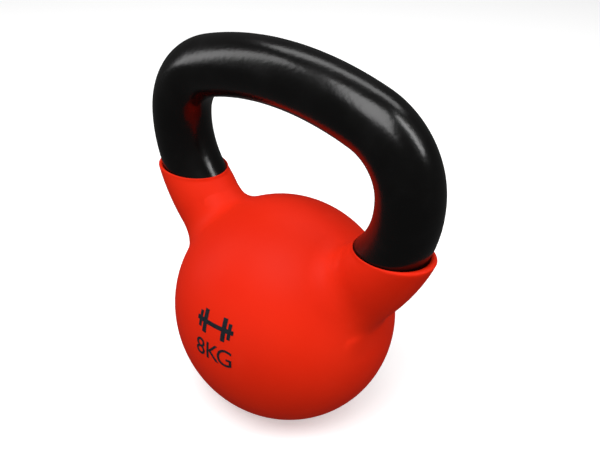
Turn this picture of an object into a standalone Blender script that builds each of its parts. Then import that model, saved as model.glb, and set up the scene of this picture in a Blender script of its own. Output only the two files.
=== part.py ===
"""Kettlebell, 8 kg: an iron casting with an enamelled handle and a dipped vinyl cover.

Frame: +Z up, the handle spans X and the printed face looks along -Y.
The origin is the middle of the flat base. Every size is in metres.
"""

import math

import bmesh
import bpy
import numpy as np

# Ball, measured outside the vinyl
BALL_HALF_WIDTH = 0.0630
BALL_HALF_DEPTH = 0.0586
BALL_HALF_HEIGHT = 0.0636
BALL_CENTRE_HEIGHT = 0.0540

# Handle: the centreline is three arcs on each side of the crown, then straight into the ball
HANDLE_TOP_HEIGHT = 0.1896
BAR_RADIUS = 0.0162
CROWN_RADIUS = 0.1737
CROWN_TURN = math.radians(17.2)
SHOULDER_RADIUS = 0.0351
SHOULDER_TURN = math.radians(68.8)
LEG_RADIUS = 0.0550
LEG_TURN = math.radians(41.8)
ROOT_LENGTH = 0.0300

# Vinyl cover
RIM_HEIGHT = 0.1197
VINYL_THICKNESS = 0.0026
RIM_LIP = 0.0013
LIP_GAIN = 0.0046
LIP_LENGTH = 0.0200
FILLET_REACH = 0.0136

# Horns: level ovals, each size given at the rim, per metre of depth and per square metre of depth
HORN_CENTRE = (0.0704, -0.716, 9.12)
HORN_HALF_WIDTH = (0.0211, 0.354, -14.7)
HORN_HALF_DEPTH = (0.0174, 0.156, -7.00)
HORN_DEPTH = 0.0500
HORN_ABOVE_RIM = 0.0030

# Coat on the bar
COAT_THICKNESS = 0.0005
COAT_UNDER_RIM = 0.0030

# Print
PRINT_THICKNESS = 0.0004
MARK_HEIGHT = 0.0100
MARK_PITCH = 0.0082
MARK_CENTRE_X = 0.0027
MARK_BASELINE_HEIGHT = 0.0532
EMBLEM_CENTRE_HEIGHT = 0.0735
EMBLEM_BAR_LENGTH = 0.0240
EMBLEM_BAR_HALF_HEIGHT = 0.0011
EMBLEM_PLATES = ((0.0062, 0.0026, 0.0062), (0.0096, 0.0020, 0.0042))

# Room left between neighbouring pieces
CLEARANCE = 0.0003

# Fineness of the facets, and how the body's surface is found
FACET = 0.0075
BAR_SIDES = 20
TUBE_CHORD_HEIGHT = 0.00008
FIELD_CHORD_HEIGHT = 0.00001
SETTLE_ROUNDS = 8
NUDGE = 0.00001
WELD = 0.000001
CUTTER_REACH = 0.5

# Worked out from the sizes above
COLLAR_RADIUS = BAR_RADIUS + RIM_LIP
BORE_RADIUS = BAR_RADIUS - COAT_THICKNESS
IRON_BAR_RADIUS = BORE_RADIUS - CLEARANCE - 2.0 * TUBE_CHORD_HEIGHT
MARKS = (("weight_mark_8", "8"), ("weight_mark_k", "K"), ("weight_mark_g", "G"))
CAPITAL_SHARE = 0.70

# Material looks: colour, roughness, metallic
IRON = ((0.16, 0.16, 0.17), 0.6, 1.0)
ENAMEL = ((0.006, 0.006, 0.006), 0.28, 0.0)
VINYL = ((0.83, 0.045, 0.018), 0.55, 0.0)
INK = ((0.015, 0.02, 0.03), 0.6, 0.0)


def clear_scene():
    for item in list(bpy.data.objects):
        bpy.data.objects.remove(item, do_unlink=True)


def new_collection(name):
    group = bpy.data.collections.new(name)
    bpy.context.scene.collection.children.link(group)
    return group


def finish_material(name, look):
    colour, roughness, metallic = look
    material = bpy.data.materials.new(name)
    material.use_nodes = True
    shader = material.node_tree.nodes["Principled BSDF"]
    shader.inputs["Base Color"].default_value = (*colour, 1.0)
    shader.inputs["Roughness"].default_value = roughness
    shader.inputs["Metallic"].default_value = metallic
    return material


def centreline(chord_height):
    """Half of the handle's centreline, from the crown down into the ball, as x and z.

    Each arc has enough points that no chord cuts in by more than the chord height.
    """
    points = [(0.0, HANDLE_TOP_HEIGHT)]
    angle = 0.0
    arcs = (
        (CROWN_RADIUS, CROWN_TURN),
        (SHOULDER_RADIUS, SHOULDER_TURN),
        (LEG_RADIUS, LEG_TURN),
    )
    for radius, turn in arcs:
        count = math.ceil(turn / math.sqrt(8.0 * chord_height / radius))
        x, z = points[-1]
        middle_x = x - radius * math.sin(angle)
        middle_z = z - radius * math.cos(angle)
        for index in range(1, count + 1):
            swept = angle + turn * index / count
            points.append((middle_x + radius * math.sin(swept), middle_z + radius * math.cos(swept)))
        angle += turn
    x, z = points[-1]
    points.append((x + ROOT_LENGTH * math.cos(angle), z - ROOT_LENGTH * math.sin(angle)))
    return points


def whole_centreline(chord_height):
    half = centreline(chord_height)
    return [(-x, z) for x, z in reversed(half[1:])] + half


def ball_distance(points):
    """Signed distance to the ball, to first order: the ellipsoid's level over its slope."""
    half_axes = np.array([BALL_HALF_WIDTH, BALL_HALF_DEPTH, BALL_HALF_HEIGHT])
    from_centre = points - np.array([0.0, 0.0, BALL_CENTRE_HEIGHT])
    level = np.linalg.norm(from_centre / half_axes, axis=1)
    slope = np.linalg.norm(from_centre / half_axes**2, axis=1)
    return level * (level - 1.0) / np.maximum(slope, 1e-9)


def handle_distance(points, radius):
    """Signed distance to a round bar of this radius on the handle's centreline."""
    line = np.array(whole_centreline(FIELD_CHORD_HEIGHT))
    starts = line[:-1]
    runs = line[1:] - starts
    offset = points[:, None, [0, 2]] - starts[None]
    along = (offset * runs).sum(2) / (runs**2).sum(1)
    nearest = offset - np.clip(along, 0.0, 1.0)[..., None] * runs
    squared = (nearest**2).sum(2).min(1) + points[:, 1] ** 2
    return np.sqrt(squared) - radius


def horn_distance(points):
    """Signed distance to the two horns, to first order: level ovals stacked from inside the ball to past each rim."""
    depth = np.clip(RIM_HEIGHT - points[:, 2], -HORN_ABOVE_RIM, HORN_DEPTH)
    powers = np.stack([np.ones_like(depth), depth, depth**2])
    across = np.abs(points[:, 0]) - np.array(HORN_CENTRE) @ powers
    half_width = np.array(HORN_HALF_WIDTH) @ powers
    half_depth = np.array(HORN_HALF_DEPTH) @ powers
    level = np.hypot(across / half_width, points[:, 1] / half_depth)
    slope = np.hypot(across / half_width**2, points[:, 1] / half_depth**2)
    side = level * (level - 1.0) / np.maximum(slope, 1e-9)
    above = points[:, 2] - RIM_HEIGHT - HORN_ABOVE_RIM
    below = RIM_HEIGHT - HORN_DEPTH - points[:, 2]
    return np.maximum(side, np.maximum(above, below))


def body_distance(points):
    """The ball and the horns, joined with a round fillet between them."""
    ball = ball_distance(points)
    horn = horn_distance(points)
    blend = np.clip(0.5 + 0.5 * (horn - ball) / FILLET_REACH, 0.0, 1.0)
    return horn + (ball - horn) * blend - FILLET_REACH * blend * (1.0 - blend)


def shape_distance(points, inset, bar_radius):
    """The body drawn in by the inset, with a bar of this radius standing out of it.

    The inset grows towards the rims, where the lip of the cover is thicker.
    """
    near_rim = np.clip((points[:, 2] - RIM_HEIGHT) / LIP_LENGTH + 1.0, 0.0, 1.0)
    lip = LIP_GAIN * near_rim**2 * (3.0 - 2.0 * near_rim) if inset > 0.0 else 0.0
    return np.minimum(body_distance(points) + inset + lip, handle_distance(points, bar_radius))


def settled(points, inset, bar_radius):
    """Slides points along the distance's slope until they lie on the shape's surface."""
    for _ in range(SETTLE_ROUNDS):
        error = shape_distance(points, inset, bar_radius)
        slope = np.stack(
            [
                shape_distance(points + NUDGE * axis, inset, bar_radius)
                - shape_distance(points - NUDGE * axis, inset, bar_radius)
                for axis in np.eye(3)
            ],
            axis=1,
        ) / (2.0 * NUDGE)
        points = points - (error / np.maximum((slope**2).sum(1), 0.1))[:, None] * slope
    return points


def mesh_copy(item, name, group):
    """The evaluated object as a plain mesh with its loose caps welded."""
    evaluated = item.evaluated_get(bpy.context.evaluated_depsgraph_get())
    mesh = bpy.data.meshes.new_from_object(evaluated)
    work = bmesh.new()
    work.from_mesh(mesh)
    bmesh.ops.remove_doubles(work, verts=work.verts, dist=WELD)
    work.to_mesh(mesh)
    work.free()
    mesh.name = name
    copy = bpy.data.objects.new(name, mesh)
    copy.matrix_world = item.matrix_world.copy()
    group.objects.link(copy)
    return copy


def handle_tube(name, radius, group):
    """A round bar on the handle's centreline, with flat ends inside the ball."""
    curve = bpy.data.curves.new(name + "_line", "CURVE")
    curve.dimensions = "3D"
    curve.bevel_depth = radius
    curve.bevel_resolution = BAR_SIDES // 2 - 2
    curve.use_fill_caps = True
    line = whole_centreline(TUBE_CHORD_HEIGHT)
    spline = curve.splines.new("POLY")
    spline.points.add(len(line) - 1)
    for point, (x, z) in zip(spline.points, line):
        point.co = (x, 0.0, z, 1.0)
    drawn = bpy.data.objects.new(name + "_line", curve)
    group.objects.link(drawn)
    bpy.context.view_layer.update()
    tube = mesh_copy(drawn, name, group)
    bpy.data.objects.remove(drawn, do_unlink=True)
    return tube


def apply_place(item):
    """Moves an object's place and scale into its mesh."""
    bpy.context.view_layer.update()
    item.data.transform(item.matrix_world)
    item.matrix_world.identity()


def as_cutter(item):
    item.hide_render = True
    item.display_type = "WIRE"
    return item


def boolean(item, cutter, operation):
    modifier = item.modifiers.new(cutter.name, "BOOLEAN")
    modifier.operation = operation
    modifier.object = cutter
    return modifier


def block(name, low, high, group):
    """A wide cutting block between two heights."""
    bpy.ops.mesh.primitive_cube_add(size=1.0)
    item = bpy.context.object
    item.name = name
    item.scale = (CUTTER_REACH, CUTTER_REACH, high - low)
    item.location = (0.0, 0.0, 0.5 * (low + high))
    move_to(item, group)
    return as_cutter(item)


def move_to(item, group):
    for owner in list(item.users_collection):
        owner.objects.unlink(item)
    group.objects.link(item)


def even_body(group):
    """The ball and the covered bar as one closed mesh of even facets."""
    bpy.ops.mesh.primitive_uv_sphere_add(segments=48, ring_count=24, radius=1.0)
    ball = bpy.context.object
    ball.name = "ball_blank"
    ball.scale = (BALL_HALF_WIDTH, BALL_HALF_DEPTH, BALL_HALF_HEIGHT)
    ball.location = (0.0, 0.0, BALL_CENTRE_HEIGHT)
    apply_place(ball)
    move_to(ball, group)
    bar = as_cutter(handle_tube("bar_blank", COLLAR_RADIUS, group))
    boolean(ball, bar, "UNION")
    remesh = ball.modifiers.new("even_facets", "REMESH")
    remesh.mode = "VOXEL"
    remesh.voxel_size = FACET
    bpy.context.view_layer.update()
    triangles = ball.modifiers.new("flat_facets", "TRIANGULATE")
    triangles.quad_method = "SHORTEST_DIAGONAL"
    blank = mesh_copy(ball, "body_blank", group)
    for spent in (ball, bar):
        bpy.data.objects.remove(spent, do_unlink=True)
    return blank


def body_at(name, blank, inset, bar_radius, group):
    """A copy of the body drawn in by the inset, with a bar of this radius."""
    mesh = blank.data.copy()
    mesh.name = name
    points = np.empty(len(mesh.vertices) * 3)
    mesh.vertices.foreach_get("co", points)
    mesh.vertices.foreach_set("co", settled(points.reshape(-1, 3), inset, bar_radius).ravel())
    mesh.update()
    item = bpy.data.objects.new(name, mesh)
    group.objects.link(item)
    return item


def round_shading(item):
    item.data.shade_smooth()
    item.data.set_sharp_from_angle(angle=math.radians(40.0))


def iron_casting(cavity, parts, cutters):
    """Ball, horns and bar in one piece, a clearance inside the coats: the cavity's facets drawn in."""
    iron = body_at("iron_casting", cavity, VINYL_THICKNESS + CLEARANCE, IRON_BAR_RADIUS, parts)
    floor = VINYL_THICKNESS + CLEARANCE
    boolean(iron, block("above_iron_floor", floor, CUTTER_REACH, cutters), "INTERSECT")
    iron.data.materials.append(finish_material("iron", IRON))
    round_shading(iron)


def vinyl_cover(blank, cavity, parts, cutters):
    """The dipped skin: open at both rims and flat underneath."""
    cover = body_at("vinyl_cover", blank, 0.0, COLLAR_RADIUS, parts)
    boolean(cover, block("between_base_and_rims", 0.0, RIM_HEIGHT, cutters), "INTERSECT")
    boolean(cavity, block("above_cover_floor", VINYL_THICKNESS, CUTTER_REACH, cutters), "INTERSECT")
    boolean(cover, cavity, "DIFFERENCE")
    pocket = as_cutter(handle_tube("coat_pocket", BAR_RADIUS + CLEARANCE, cutters))
    pocket_floor = RIM_HEIGHT - COAT_UNDER_RIM - CLEARANCE
    boolean(pocket, block("above_pocket_floor", pocket_floor, CUTTER_REACH, cutters), "INTERSECT")
    boolean(cover, pocket, "DIFFERENCE")
    cover.data.materials.append(finish_material("vinyl", VINYL))
    round_shading(cover)


def handle_enamel(parts, cutters):
    """The coat on the bare bar, ending a little way under each rim."""
    coat = handle_tube("handle_enamel", BAR_RADIUS, parts)
    coat_floor = RIM_HEIGHT - COAT_UNDER_RIM
    flat_to_corner = 1.0 / math.cos(math.pi / BAR_SIDES)
    bore = as_cutter(handle_tube("coat_bore", BORE_RADIUS * flat_to_corner, cutters))
    boolean(coat, block("above_coat_ends", coat_floor, CUTTER_REACH, cutters), "INTERSECT")
    boolean(coat, bore, "DIFFERENCE")
    coat.data.materials.append(finish_material("enamel", ENAMEL))
    round_shading(coat)


def print_layer(blank, cutters):
    """The two surfaces that ink lies between, just outside the cover's face."""
    inside = body_at("print_inside", blank, -CLEARANCE, COLLAR_RADIUS, cutters)
    outside = body_at("print_outside", blank, -CLEARANCE - PRINT_THICKNESS, COLLAR_RADIUS, cutters)
    return as_cutter(inside), as_cutter(outside)


def printed(item, layer, material):
    """Keeps only the part of an upright prism that lies in the ink layer on the face."""
    inside, outside = layer
    boolean(item, outside, "INTERSECT")
    boolean(item, inside, "DIFFERENCE")
    item.data.materials.append(material)


def prism_from_curve(name, curve, x, z, group):
    """A flat outline, stood upright and drawn out along Y through the printed face."""
    curve.extrude = 0.5 * BALL_HALF_DEPTH
    drawn = bpy.data.objects.new(name + "_line", curve)
    drawn.location = (x, -BALL_HALF_DEPTH, z)
    drawn.rotation_euler = (math.radians(90.0), 0.0, 0.0)
    group.objects.link(drawn)
    bpy.context.view_layer.update()
    prism = mesh_copy(drawn, name, group)
    bpy.data.objects.remove(drawn, do_unlink=True)
    return prism


def weight_marks(layer, ink, parts):
    for index, (name, letter) in enumerate(MARKS):
        curve = bpy.data.curves.new(name, "FONT")
        curve.body = letter
        curve.size = MARK_HEIGHT / CAPITAL_SHARE
        curve.align_x = "CENTER"
        curve.resolution_u = 3
        x = MARK_CENTRE_X + (index - 1) * MARK_PITCH
        printed(prism_from_curve(name, curve, x, MARK_BASELINE_HEIGHT, parts), layer, ink)


def emblem(layer, ink, parts, cutters):
    """A plain barbell: a bar through pairs of plates, as one patch of ink."""
    boxes = [(0.0, EMBLEM_BAR_LENGTH / 2, EMBLEM_BAR_HALF_HEIGHT)]
    for centre, half_width, half_height in EMBLEM_PLATES:
        boxes += [(side * centre, half_width / 2, half_height) for side in (-1, 1)]
    pieces = []
    for index, (x, half_width, half_height) in enumerate(boxes):
        bpy.ops.mesh.primitive_cube_add(size=2.0)
        piece = bpy.context.object
        piece.name = "emblem" if index == 0 else f"emblem_plate_{index}"
        piece.location = (MARK_CENTRE_X + x, -BALL_HALF_DEPTH, EMBLEM_CENTRE_HEIGHT)
        piece.scale = (half_width, 0.5 * BALL_HALF_DEPTH, half_height)
        move_to(piece, parts if index == 0 else cutters)
        pieces.append(piece)
    for plate in pieces[1:]:
        boolean(pieces[0], as_cutter(plate), "UNION")
    printed(pieces[0], layer, ink)


def main():
    clear_scene()
    parts = new_collection("kettlebell")
    cutters = new_collection("cutters")
    blank = even_body(cutters)
    cavity = as_cutter(body_at("cover_cavity", blank, VINYL_THICKNESS, BORE_RADIUS, cutters))
    iron_casting(cavity, parts, cutters)
    vinyl_cover(blank, cavity, parts, cutters)
    handle_enamel(parts, cutters)
    ink = finish_material("ink", INK)
    layer = print_layer(blank, cutters)
    weight_marks(layer, ink, parts)
    emblem(layer, ink, parts, cutters)
    bpy.data.objects.remove(blank, do_unlink=True)


main()
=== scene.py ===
"""Kettlebell: a dipped vinyl skin and an enamelled bar round an iron casting, in a plain pale studio."""

import math

import bmesh
import bpy
import numpy as np
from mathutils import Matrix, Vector


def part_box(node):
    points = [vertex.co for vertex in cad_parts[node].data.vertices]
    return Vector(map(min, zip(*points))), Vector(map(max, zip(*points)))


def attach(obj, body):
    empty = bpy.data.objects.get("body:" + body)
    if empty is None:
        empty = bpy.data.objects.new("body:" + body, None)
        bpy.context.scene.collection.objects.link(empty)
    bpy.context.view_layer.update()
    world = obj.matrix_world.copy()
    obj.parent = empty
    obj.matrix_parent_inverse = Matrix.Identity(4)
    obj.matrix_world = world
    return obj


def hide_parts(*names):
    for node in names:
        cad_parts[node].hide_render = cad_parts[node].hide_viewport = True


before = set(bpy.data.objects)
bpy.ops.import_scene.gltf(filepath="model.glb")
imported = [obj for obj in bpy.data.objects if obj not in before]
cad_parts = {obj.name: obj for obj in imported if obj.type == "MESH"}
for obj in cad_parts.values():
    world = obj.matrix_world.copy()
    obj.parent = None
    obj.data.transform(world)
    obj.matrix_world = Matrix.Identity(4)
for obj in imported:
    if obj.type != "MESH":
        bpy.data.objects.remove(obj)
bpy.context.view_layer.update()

# Sizes that the surfaces are worked out from, in metres
BALL_HALF_AXES = np.array([0.0630, 0.0586, 0.0636])
BALL_CENTRE = np.array([0.0, 0.0, 0.0540])
HANDLE_TOP = 0.1896
BAR_RADIUS = 0.0162
HANDLE_ARCS = ((0.1737, 17.2), (0.0351, 68.8), (0.0550, 41.8))
ROOT_LENGTH = 0.030
RIM_HEIGHT = float(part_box("vinyl_cover")[1][2])
LIP_RADIUS = 0.00125
MOUTH_GAP = 0.0003
FILLET_REACH = 0.0136
HORN_CENTRE = (0.0704, -0.716, 9.12)
HORN_HALF_WIDTH = (0.0211, 0.354, -14.7)
HORN_HALF_DEPTH = (0.0174, 0.156, -7.00)
HORN_DEPTH = 0.050
HORN_ABOVE_RIM = 0.0030
HORN_ROUNDING = 0.014
BASE_ROUNDING = 0.0030
COAT_UNDER_RIM = 0.0030
COAT_THICKNESS = 0.0004
INK_LIFT = 0.00012
INK_THICKNESS = 0.0001
INK_CELL = 0.0008


# ---------------------------------------------------------------- meshes

def grid_faces(rows, columns):
    """Quads between neighbouring points of a grid whose columns close on themselves."""
    across = np.arange(columns)
    down = np.arange(rows - 1)[:, None]
    right = (across + 1) % columns
    corners = [down * columns + across, down * columns + right,
               (down + 1) * columns + right, (down + 1) * columns + across]
    return np.stack(corners, axis=-1).reshape(-1, 4)


def mesh_object(name, points, faces, material):
    mesh = bpy.data.meshes.new(name)
    mesh.from_pydata(points.tolist(), [], faces.tolist())
    mesh.update()
    mesh.shade_smooth()
    mesh.materials.append(material)
    piece = bpy.data.objects.new(name, mesh)
    bpy.context.scene.collection.objects.link(piece)
    return piece


# ---------------------------------------------------------------- shapes as distances

LEAST_SLOPE = 1e-9
LEAST_SQUARED_SLOPE = 0.1


def ball_distance(points):
    """The ellipsoid's level over its slope: the signed distance to the ball, to first order."""
    offset = points - BALL_CENTRE
    level = np.linalg.norm(offset / BALL_HALF_AXES, axis=-1)
    slope = np.linalg.norm(offset / BALL_HALF_AXES**2, axis=-1)
    return level * (level - 1.0) / np.maximum(slope, LEAST_SLOPE)


def horn_oval(height):
    """Centre, half width and half depth of a horn's level section at a height.

    Each is a quadratic in the depth below the rim, whose three factors are given above.
    """
    depth = np.clip(RIM_HEIGHT - height, -HORN_ABOVE_RIM, HORN_DEPTH)
    powers = np.stack([np.ones_like(depth), depth, depth**2])
    return (np.tensordot(sizes, powers, 1) for sizes in (HORN_CENTRE, HORN_HALF_WIDTH, HORN_HALF_DEPTH))


def horn_distance(points):
    """Signed distance to the horns, to first order: stacked ovals, with the lower end rounded off."""
    centre, half_width, half_depth = horn_oval(points[..., 2])
    across = np.abs(points[..., 0]) - centre
    level = np.hypot(across / half_width, points[..., 1] / half_depth)
    slope = np.hypot(across / half_width**2, points[..., 1] / half_depth**2)
    side = level * (level - 1.0) / np.maximum(slope, LEAST_SLOPE)
    return -smooth_lesser(-side, points[..., 2] - RIM_HEIGHT + HORN_DEPTH, HORN_ROUNDING)


def smooth_lesser(a, b, reach):
    """The lesser of two distances, blended where they differ by less than the reach."""
    share = np.clip(0.5 + 0.5 * (b - a) / reach, 0.0, 1.0)
    return b + (a - b) * share - reach * share * (1.0 - share)


def skin_distance(points):
    """Ball and horns with a fillet between, cut off by the floor with a rounded edge."""
    body = smooth_lesser(ball_distance(points), horn_distance(points), FILLET_REACH)
    return -smooth_lesser(-body, points[..., 2], BASE_ROUNDING)


def slope_of(distance, points, nudge=1e-5):
    """Gradient by central differences."""
    return np.stack([(distance(points + nudge * axis) - distance(points - nudge * axis)) / (2.0 * nudge)
                     for axis in np.eye(3)], axis=-1)


def settled(distance, points, rounds):
    """Points slid along the slope until they lie on the surface."""
    for _ in range(rounds):
        slope = slope_of(distance, points)
        size = np.maximum((slope**2).sum(-1, keepdims=True), LEAST_SQUARED_SLOPE)
        points = points - distance(points)[..., None] / size * slope
    return points


# ---------------------------------------------------------------- vinyl skin

AROUND = 160
ROWS_ON_HORN = 24
ROWS_ON_BALL = 96
ROWS_INSIDE = 40
FIRST_INSIDE_ROW = 20
LIP_ROWS = 12
RELAX_ROUNDS = 260
ROUNDS_BETWEEN_SETTLING = 4
MOUTH_DEPTH = 0.004
NECK_DEPTH = 0.022
FAN_PAST_NECK = 0.12
LEG_STEPS = 4000
SKIN_THICKNESS = 0.0024
SKIN_WELD = 1e-6
EDGE = np.linspace(0.0, 2.0 * np.pi, AROUND, endpoint=False)


def leg_at(height):
    """Distance out and lean of the handle's centreline where it passes a height on its way down."""
    x, z, angle = centreline(LEG_STEPS)
    index = int(np.argmax(z < height))
    return x[index], angle[index] - 0.5 * np.pi


def centreline(count):
    """Half of the handle's centreline from the crown down: the turn grows evenly along each arc."""
    lengths = [radius * math.radians(turn) for radius, turn in HANDLE_ARCS]
    along = np.linspace(0.0, sum(lengths) + ROOT_LENGTH, count)
    angle = np.zeros(count)
    start = 0.0
    for (radius, turn), length in zip(HANDLE_ARCS, lengths):
        angle += np.clip(along - start, 0.0, length) / radius
        start += length
    step = along[1]
    middle = 0.5 * (angle[1:] + angle[:-1])
    x = np.concatenate([[0.0], np.cumsum(np.cos(middle) * step)])
    z = HANDLE_TOP - np.concatenate([[0.0], np.cumsum(np.sin(middle) * step)])
    return x, z, angle


def bar_section(height, radius):
    """Level section of the leaning bar: an oval, longer along X by the lean."""
    out, lean = leg_at(height)
    return np.stack([out + radius / math.cos(lean) * np.cos(EDGE), radius * np.sin(EDGE),
                     np.full(AROUND, height)], axis=-1)


def horn_section(height):
    """Level section of a horn, never thinner than a lip's width round the bar."""
    centre, half_width, half_depth = (float(v) for v in horn_oval(np.array(height)))
    oval = np.stack([centre + half_width * np.cos(EDGE), half_depth * np.sin(EDGE),
                     np.full(AROUND, height)], axis=-1)
    least = bar_section(height, BAR_RADIUS + LIP_RADIUS)
    out = leg_at(height)[0]
    reach = np.linalg.norm(oval[:, :2] - [out, 0.0], axis=1)
    least_reach = np.linalg.norm(least[:, :2] - [out, 0.0], axis=1)
    return np.where((reach < least_reach)[:, None], least, oval)


def relaxed(rows):
    """Evens out the rows between the fixed rim and the mirror plane, and keeps them on the skin."""
    for turn in range(RELAX_ROUNDS):
        around = 0.5 * (np.roll(rows, 1, axis=1) + np.roll(rows, -1, axis=1))
        inner = 0.5 * (rows[2:] + rows[:-2])
        rows[1:-1] = 0.5 * rows[1:-1] + 0.25 * inner + 0.25 * around[1:-1]
        edge = 0.5 * rows[-1] + 0.25 * around[-1] + 0.25 * rows[-2]
        edge[:, 0] = 0.0
        rows[-1] = edge
        if turn % ROUNDS_BETWEEN_SETTLING == ROUNDS_BETWEEN_SETTLING - 1:
            rows[1:] = settled(skin_distance, rows[1:], 1)
            rows[-1, :, 0] = 0.0
    rows[1:] = settled(skin_distance, rows[1:], 4)
    rows[-1, :, 0] = 0.0
    return rows


def skin_rows():
    """Rings from the rim down the horn and over half the ball to the mirror plane.

    Below the neck a ring follows directions from the ball's centre that fan out from
    the horn's axis, each as far as the mirror plane.
    """
    top = horn_section(RIM_HEIGHT - LIP_RADIUS)
    neck = horn_section(RIM_HEIGHT - NECK_DEPTH)
    axis = neck.mean(0) - BALL_CENTRE
    axis /= np.linalg.norm(axis)
    side = np.cross([0.0, 1.0, 0.0], axis)
    rays = neck - BALL_CENTRE
    azimuth = np.arctan2(rays[:, 1], rays @ side)
    start = np.arccos((rays @ axis) / np.linalg.norm(rays, axis=1)) + FAN_PAST_NECK
    finish = np.arctan2(axis[0], -np.cos(azimuth) * side[0])
    share = np.linspace(0.0, 1.0, ROWS_ON_BALL)[:, None]
    polar = start + (finish - start) * share
    forward = np.array([0.0, 1.0, 0.0])
    fan = np.cos(azimuth)[None, :, None] * side + np.sin(azimuth)[None, :, None] * forward
    ways = np.cos(polar)[..., None] * axis + np.sin(polar)[..., None] * fan
    on_ball = BALL_CENTRE + ways / np.linalg.norm(ways / BALL_HALF_AXES, axis=-1, keepdims=True)
    drop = np.linspace(0.0, 1.0, ROWS_ON_HORN, endpoint=False)[:, None, None]
    on_horn = top + (on_ball[0] - top) * drop
    rows = np.concatenate([on_horn, on_ball])
    rows[..., 2] = np.maximum(rows[..., 2], 0.0)
    rows[1:] = settled(skin_distance, rows[1:], 6)
    return relaxed(rows)


def lip_rows():
    """Half an oval over the lip, from the horn's outside to the mouth, then straight down into the mouth."""
    outside = horn_section(RIM_HEIGHT - LIP_RADIUS)
    inside = bar_section(RIM_HEIGHT - LIP_RADIUS, BAR_RADIUS + MOUTH_GAP)
    turn = np.linspace(0.0, np.pi, LIP_ROWS + 1)[1:, None, None]
    middle, half = 0.5 * (outside + inside), 0.5 * (outside - inside)
    over = middle + np.cos(turn) * half + np.sin(turn) * np.array([0.0, 0.0, LIP_RADIUS])
    mouth = bar_section(RIM_HEIGHT - MOUTH_DEPTH, BAR_RADIUS + MOUTH_GAP)[None]
    return np.concatenate([over, mouth])


def vinyl_skin(material):
    """A closed skin: outside, lip, mouth and inner wall, mirrored at X = 0."""
    outer = skin_rows()
    normal = slope_of(skin_distance, outer)
    normal /= np.linalg.norm(normal, axis=-1, keepdims=True)
    pick = np.linspace(FIRST_INSIDE_ROW, len(outer) - 1, ROWS_INSIDE).astype(int)
    inner = (outer - SKIN_THICKNESS * normal)[pick]
    inner[-1, :, 0] = 0.0
    rows = np.concatenate([outer[::-1], lip_rows(), inner])
    faces = grid_faces(len(rows), AROUND)
    count = rows.shape[0] * AROUND
    points = rows.reshape(-1, 3)
    mirrored = points * [-1.0, 1.0, 1.0]
    piece = mesh_object("vinyl_skin", np.concatenate([points, mirrored]),
                        np.concatenate([faces, faces[:, ::-1] + count]), material)
    weld(piece)
    return piece


def weld(piece, distance=SKIN_WELD):
    """Joins doubled points, then turns every face outwards."""
    work = bmesh.new()
    work.from_mesh(piece.data)
    bmesh.ops.remove_doubles(work, verts=work.verts, dist=distance)
    bmesh.ops.recalc_face_normals(work, faces=work.faces)
    work.to_mesh(piece.data)
    work.free()
    piece.data.shade_smooth()


# ---------------------------------------------------------------- enamelled bar

COAT_SIDES = 72
COAT_ROWS = 260
COAT_STEPS = 6000


def handle_coat(material):
    """A shell round the bar: a circle carried along the centreline, ended level under the rims."""
    x, z, angle = centreline(COAT_STEPS)
    end_height = RIM_HEIGHT - COAT_UNDER_RIM
    along = np.arange(COAT_STEPS)
    round_bar = np.linspace(0.0, 2.0 * np.pi, COAT_SIDES, endpoint=False)

    def wall(radius):
        outward = radius * np.cos(round_bar)
        surface_z = z[:, None] + np.cos(angle)[:, None] * outward
        last = np.argmax(surface_z < end_height, axis=0)
        share = np.linspace(-1.0, 1.0, COAT_ROWS)[:, None]
        place = share * last
        away = np.abs(place)
        px = np.interp(away, along, x) * np.sign(place)
        pz = np.interp(away, along, z)
        turn = np.interp(away, along, angle)
        return np.stack([px + np.sign(place) * np.sin(turn) * outward,
                         np.broadcast_to(radius * np.sin(round_bar), px.shape),
                         pz + np.cos(turn) * outward], axis=-1)

    grid = np.concatenate([wall(BAR_RADIUS), wall(BAR_RADIUS - COAT_THICKNESS)[::-1]])
    grid = np.concatenate([grid, grid[:1]])
    faces = grid_faces(len(grid), COAT_SIDES)
    piece = mesh_object("enamel_coat", grid.reshape(-1, 3), faces, material)
    weld(piece)
    return piece


# ---------------------------------------------------------------- ink

INK_WELD = 1e-7
INK_EDGE_ANGLE = math.radians(50.0)
LETTER_SMOOTHNESS = 8
# Upper right quarter of the barbell's outline, as shares of half its width and half its height
BARBELL_STEPS = (
    (0.41, 0.18), (0.41, 1.0), (0.63, 1.0), (0.63, 0.18), (0.72, 0.18), (0.72, 0.68),
    (0.88, 0.68), (0.88, 0.18), (1.0, 0.18),
)


def on_face(points, lift):
    """Flat points x, z laid on the front of the ball, this far out."""
    axes = BALL_HALF_AXES + lift
    flat = 1.0 - (points[:, 0] / axes[0])**2 - ((points[:, 1] - BALL_CENTRE[2]) / axes[2])**2
    return np.stack([points[:, 0], -axes[1] * np.sqrt(np.maximum(flat, 0.0)), points[:, 1]], axis=-1)


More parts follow.
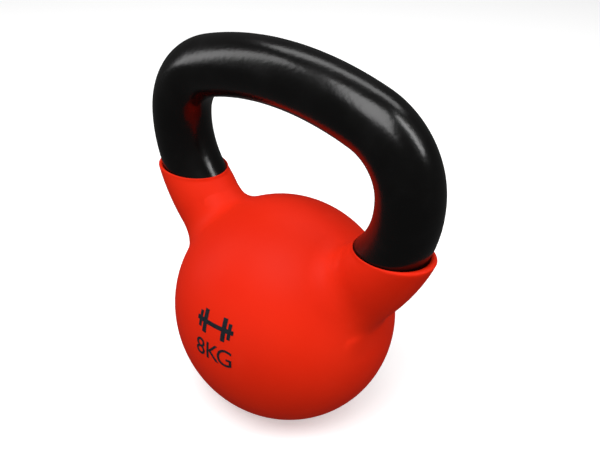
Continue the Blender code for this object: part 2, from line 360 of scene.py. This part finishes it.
def ink_patch(name, flat_mesh, material):
    """A flat outline cut into small cells, wrapped on the ball and given the ink's thickness."""
    work = bmesh.new()
    work.from_mesh(flat_mesh)
    bmesh.ops.remove_doubles(work, verts=work.verts, dist=SKIN_WELD)
    spans = [(min(v.co[k] for v in work.verts), max(v.co[k] for v in work.verts)) for k in (0, 1)]
    for k, (low, high) in enumerate(spans):
        way = Vector((1.0, 0.0, 0.0)) if k == 0 else Vector((0.0, 1.0, 0.0))
        for place in np.arange(low + INK_CELL, high, INK_CELL):
            bmesh.ops.bisect_plane(work, geom=work.verts[:] + work.edges[:] + work.faces[:],
                                   plane_co=way * float(place), plane_no=way)
    bmesh.ops.triangulate(work, faces=work.faces)
    points = np.array([v.co for v in work.verts])
    faces = np.array([[v.index for v in f.verts] for f in work.faces])
    work.free()
    count = len(points)
    directed = np.concatenate([faces[:, [0, 1]], faces[:, [1, 2]], faces[:, [2, 0]]])
    edges = np.sort(directed, axis=1)
    _, first, seen = np.unique(edges, axis=0, return_index=True, return_counts=True)
    rim = directed[first[seen == 1]]
    upper_walls = np.stack([rim[:, 1], rim[:, 0], rim[:, 0] + count], axis=1)
    lower_walls = np.stack([rim[:, 1], rim[:, 0] + count, rim[:, 1] + count], axis=1)
    both = np.concatenate([on_face(points, INK_LIFT + INK_THICKNESS), on_face(points, INK_LIFT)])
    shell = np.concatenate([faces, faces[:, ::-1] + count, upper_walls, lower_walls])
    piece = mesh_object(name, both, shell, material)
    weld(piece, INK_WELD)
    piece.data.set_sharp_from_angle(angle=INK_EDGE_ANGLE)
    return piece


def letter_outline(letter, low, high):
    """One character in the built-in face, stretched between two corners of its box."""
    curve = bpy.data.curves.new(letter, "FONT")
    curve.body = letter
    curve.resolution_u = LETTER_SMOOTHNESS
    drawn = bpy.data.objects.new(letter, curve)
    bpy.context.scene.collection.objects.link(drawn)
    bpy.context.view_layer.update()
    evaluated = drawn.evaluated_get(bpy.context.evaluated_depsgraph_get())
    mesh = bpy.data.meshes.new_from_object(evaluated)
    bpy.data.objects.remove(drawn, do_unlink=True)
    points = np.empty(len(mesh.vertices) * 3)
    mesh.vertices.foreach_get("co", points)
    points = points.reshape(-1, 3)
    least, size = points.min(0), np.ptp(points, axis=0)
    points[:, 0] = low[0] + (points[:, 0] - least[0]) / size[0] * (high[0] - low[0])
    points[:, 1] = low[1] + (points[:, 1] - least[1]) / size[1] * (high[1] - low[1])
    points[:, 2] = 0.0
    mesh.vertices.foreach_set("co", points.ravel())
    return mesh


def emblem_outline(low, high):
    """The outline of a plain barbell that fills a box: stepped plates at both ends of a bar."""
    middle_x, middle_z = 0.5 * (low[0] + high[0]), 0.5 * (low[1] + high[1])
    half_width, half_height = 0.5 * (high[0] - low[0]), 0.5 * (high[1] - low[1])
    outline = list(BARBELL_STEPS) + [(x, -z) for x, z in reversed(BARBELL_STEPS)]
    outline += [(-x, -z) for x, z in BARBELL_STEPS] + [(-x, z) for x, z in reversed(BARBELL_STEPS)]
    points = [(middle_x + half_width * x, middle_z + half_height * z, 0.0) for x, z in outline]
    mesh = bpy.data.meshes.new("emblem_outline")
    mesh.from_pydata(points, [], [list(range(len(points)))[::-1]])
    return mesh


# ---------------------------------------------------------------- materials

class Shade:
    """A socket that adds Math nodes when it is used in an expression."""

    def __init__(self, tree, socket):
        self.tree = tree
        self.socket = socket

    def math(self, operation, *others):
        return make(self.tree, "ShaderNodeMath", {"operation": operation}, [self, *others])

    def __add__(self, other):
        return self.math("ADD", other)

    def __mul__(self, other):
        return self.math("MULTIPLY", other)

    __radd__ = __add__
    __rmul__ = __mul__


def make(tree, kind, settings, inputs, output=0):
    """Adds any node: its settings first, then its sockets by place or by name."""
    node = tree.nodes.new(kind)
    for key, value in settings.items():
        if key == "stops":
            for stop, (place, shade) in zip(node.color_ramp.elements, value):
                stop.position = place
                stop.color = (shade, shade, shade, 1.0)
        else:
            setattr(node, key, value)
    pairs = inputs.items() if isinstance(inputs, dict) else enumerate(inputs)
    for key, value in pairs:
        if isinstance(value, Shade):
            tree.links.new(value.socket, node.inputs[key])
        else:
            node.inputs[key].default_value = value
    return Shade(tree, node.outputs[output])


def noise(tree, place, scale, detail=3.0):
    return make(tree, "ShaderNodeTexNoise", {}, {"Vector": place, "Scale": scale, "Detail": detail})


def contrast(value, low, high):
    return make(value.tree, "ShaderNodeValToRGB", {"stops": ((low, 0.0), (high, 1.0))}, [value])


def mix_colour(tree, share, first, second):
    return make(tree, "ShaderNodeMix", {"data_type": "RGBA"}, {0: share, 6: first, 7: second}, output=2)


def new_finish(name, constants):
    material = bpy.data.materials.new(name)
    material.use_nodes = True
    tree = material.node_tree
    shader = tree.nodes["Principled BSDF"]
    for key, value in constants.items():
        shader.inputs[key].default_value = value
    place = make(tree, "ShaderNodeTexCoord", {}, {}, output=3)
    return material, tree, shader, place


def connect(tree, shader, **values):
    for key, value in values.items():
        tree.links.new(value.socket, shader.inputs[key.replace("_", " ")])


def bump(tree, height, distance, strength=1.0, normal=None):
    inputs = {"Strength": strength, "Distance": distance, "Height": height}
    if normal is not None:
        inputs["Normal"] = normal
    return make(tree, "ShaderNodeBump", {}, inputs)


def vinyl_finish():
    """Soft dipped vinyl: an even orange-red, faintly cloudy, with a fine satin grain and light scuffs."""
    material, tree, shader, place = new_finish("soft_vinyl", {"Specular IOR Level": 0.10})
    cloud = contrast(noise(tree, place, 14.0), 0.3, 0.7)
    grain = noise(tree, place, 2600.0, 2.0)
    scuff = contrast(noise(tree, place, 90.0, 5.0), 0.62, 0.80)
    colour = mix_colour(tree, cloud, (0.840, 0.0200, 0.0040, 1.0), (0.880, 0.0270, 0.0060, 1.0))
    colour = mix_colour(tree, scuff * 0.10, colour, (0.93, 0.060, 0.030, 1.0))
    rough = 0.50 + cloud * 0.05 + scuff * 0.07
    normal = bump(tree, grain, 0.00002, 0.35)
    normal = bump(tree, noise(tree, place, 60.0, 2.0), 0.00006, 0.25, normal)
    connect(tree, shader, Base_Color=colour, Roughness=rough, Normal=normal)
    return material


def enamel_finish():
    """Gloss black baked enamel with orange peel and slightly duller, greyer worn patches."""
    material, tree, shader, place = new_finish("black_enamel", {"Specular IOR Level": 0.5})
    peel = noise(tree, place, 420.0, 2.0)
    wave = noise(tree, place, 110.0, 2.0)
    worn = contrast(noise(tree, place, 55.0, 4.0), 0.45, 0.75)
    colour = mix_colour(tree, worn, (0.0022, 0.0021, 0.0020, 1.0), (0.0042, 0.0041, 0.0040, 1.0))
    rough = 0.21 + worn * 0.05
    normal = bump(tree, peel, 0.00020, 0.40)
    normal = bump(tree, wave, 0.00008, 0.15, normal)
    connect(tree, shader, Base_Color=colour, Roughness=rough, Normal=normal)
    return material


def iron_finish():
    """Raw sand-cast iron, hidden under the coats."""
    material, tree, shader, place = new_finish("cast_iron", {"Metallic": 0.9})
    sand = noise(tree, place, 500.0, 4.0)
    colour = mix_colour(tree, sand, (0.09, 0.09, 0.095, 1.0), (0.17, 0.165, 0.16, 1.0))
    connect(tree, shader, Base_Color=colour, Roughness=0.5 + sand * 0.3, Normal=bump(tree, sand, 0.0002))
    return material


def ink_finish():
    """Dark blue-black printed ink, a little uneven and thin in spots."""
    material, tree, shader, place = new_finish("print_ink", {"Specular IOR Level": 0.4})
    patchy = contrast(noise(tree, place, 700.0, 4.0), 0.35, 0.75)
    colour = mix_colour(tree, patchy, (0.0060, 0.0105, 0.0150, 1.0), (0.0150, 0.0200, 0.0260, 1.0))
    rough = 0.45 + patchy * 0.12
    connect(tree, shader, Base_Color=colour, Roughness=rough, Normal=bump(tree, patchy, 0.00002))
    return material


def floor_finish():
    """A plain matt floor, nearly white, that glows a little so that shadows on it stay pale."""
    material, tree, shader, place = new_finish("pale_floor", {
        "Roughness": 0.9, "Specular IOR Level": 0.1, "Emission Color": (1.0, 1.0, 1.0, 1.0),
        "Emission Strength": 0.42})
    tone = noise(tree, place, 3.0)
    colour = mix_colour(tree, tone, (0.93, 0.93, 0.93, 1.0), (0.95, 0.95, 0.95, 1.0))
    connect(tree, shader, Base_Color=colour)
    return material


# ---------------------------------------------------------------- studio

# Each lamp is a name, azimuth, elevation, distance, width, height and watts.
# The fills light the sides without a highlight of their own.
LAMPS = (
    ("key_box", 14.0, 64.0, 1.1, 0.8, 0.7, 8.5),
    ("left_box", -62.0, 30.0, 1.1, 0.25, 1.1, 3.0),
    ("right_box", 112.0, 46.0, 1.2, 0.22, 0.8, 4.5),
    ("back_box", 205.0, 60.0, 1.2, 1.3, 0.30, 3.5),
)
FILLS = (
    ("front_fill", 0.0, 2.0, 1.3, 1.4, 0.8, 6.5),
    ("side_fill", 80.0, 4.0, 1.3, 1.2, 0.8, 7.0),
)
LAMP_TARGET = Vector((0.0, 0.0, 0.10))
WORLD_STRENGTH = 0.06
FLOOR_HALF_SIZE = 6.0
FLOOR_DROP = 0.0002

CAMERA_AZIMUTH = math.radians(41.96)
CAMERA_ELEVATION = math.radians(36.15)
CAMERA_DISTANCE = 0.4681
# Where the ball's centre lies in view, as slopes to the right of and above the lens axis
BALL_RIGHT = -0.0186
BALL_ABOVE = -0.0970
LENS_LENGTH = 50.0
SENSOR_WIDTH = 36.0


def direction(azimuth, elevation):
    """Unit vector from the object: azimuth turns from the front to the right, elevation rises."""
    return Vector((math.sin(azimuth) * math.cos(elevation),
                   -math.cos(azimuth) * math.cos(elevation),
                   math.sin(elevation)))


def soft_box(name, azimuth, elevation, distance, width, height, watts):
    """A rectangular lamp that faces the middle of the object."""
    lamp = bpy.data.lights.new(name, "AREA")
    lamp.shape = "RECTANGLE"
    lamp.size, lamp.size_y = width, height
    lamp.energy = watts
    item = bpy.data.objects.new(name, lamp)
    back = direction(math.radians(azimuth), math.radians(elevation))
    item.location = LAMP_TARGET + back * distance
    item.rotation_mode = "QUATERNION"
    item.rotation_quaternion = back.to_track_quat("Z", "Y")
    bpy.context.scene.collection.objects.link(item)
    return item


def studio():
    """Lamps, a dim even surround, and a floor that neither shows in the gloss nor lights the object."""
    scene = bpy.context.scene
    scene.view_settings.view_transform = "Standard"
    world = bpy.data.worlds.new("studio")
    scene.world = world
    world.use_nodes = True
    background = world.node_tree.nodes["Background"]
    background.inputs["Color"].default_value = (1.0, 1.0, 1.0, 1.0)
    background.inputs["Strength"].default_value = WORLD_STRENGTH
    for lamp in LAMPS:
        soft_box(*lamp)
    for lamp in FILLS:
        soft_box(*lamp).visible_glossy = False
    corners = np.array([[-1, -1, 0], [1, -1, 0], [1, 1, 0], [-1, 1, 0]]) * FLOOR_HALF_SIZE
    corners = corners - [0.0, 0.0, FLOOR_DROP]
    floor = mesh_object("floor", corners, np.array([[0, 1, 2, 3]]), floor_finish())
    floor.visible_glossy = False
    floor.visible_diffuse = False


def camera():
    """Faces the ball's centre, then turns away from it by the two slopes."""
    back = direction(CAMERA_AZIMUTH, CAMERA_ELEVATION)
    data = bpy.data.cameras.new("camera")
    data.lens = LENS_LENGTH
    data.sensor_width = SENSOR_WIDTH
    data.clip_start, data.clip_end = 0.01, 50.0
    item = bpy.data.objects.new("camera", data)
    item.location = Vector(BALL_CENTRE.tolist()) + back * CAMERA_DISTANCE
    to_ball = Vector((BALL_RIGHT, BALL_ABOVE, -1.0)).normalized()
    offset = Vector((0.0, 0.0, -1.0)).rotation_difference(to_ball)
    item.rotation_mode = "QUATERNION"
    item.rotation_quaternion = (-back).to_track_quat("-Z", "Y") @ offset.inverted()
    bpy.context.scene.collection.objects.link(item)
    bpy.context.scene.camera = item


# ---------------------------------------------------------------- the object

def place_piece(piece, slot, *nodes):
    """Ties a piece to the body and hides the nodes that it stands for; the material slot is not used."""
    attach(piece, "root")
    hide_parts(*nodes)


def node_frame(node):
    """Lower left and upper right corners of a node's box, seen from the front."""
    low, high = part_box(node)
    return (low[0], low[2]), (high[0], high[2])


camera()
studio()
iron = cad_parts["iron_casting"]
iron.data.materials.clear()
iron.data.materials.append(iron_finish())
place_piece(vinyl_skin(vinyl_finish()), "vinyl", "vinyl_cover")
place_piece(handle_coat(enamel_finish()), "enamel", "handle_enamel")
ink = ink_finish()
for node, letter in (("weight_mark_8", "8"), ("weight_mark_k", "K"), ("weight_mark_g", "G")):
    outline = letter_outline(letter, *node_frame(node))
    place_piece(ink_patch(node + "_ink", outline, ink), "ink", node)
place_piece(ink_patch("emblem_ink", emblem_outline(*node_frame("emblem")), ink), "ink", "emblem")
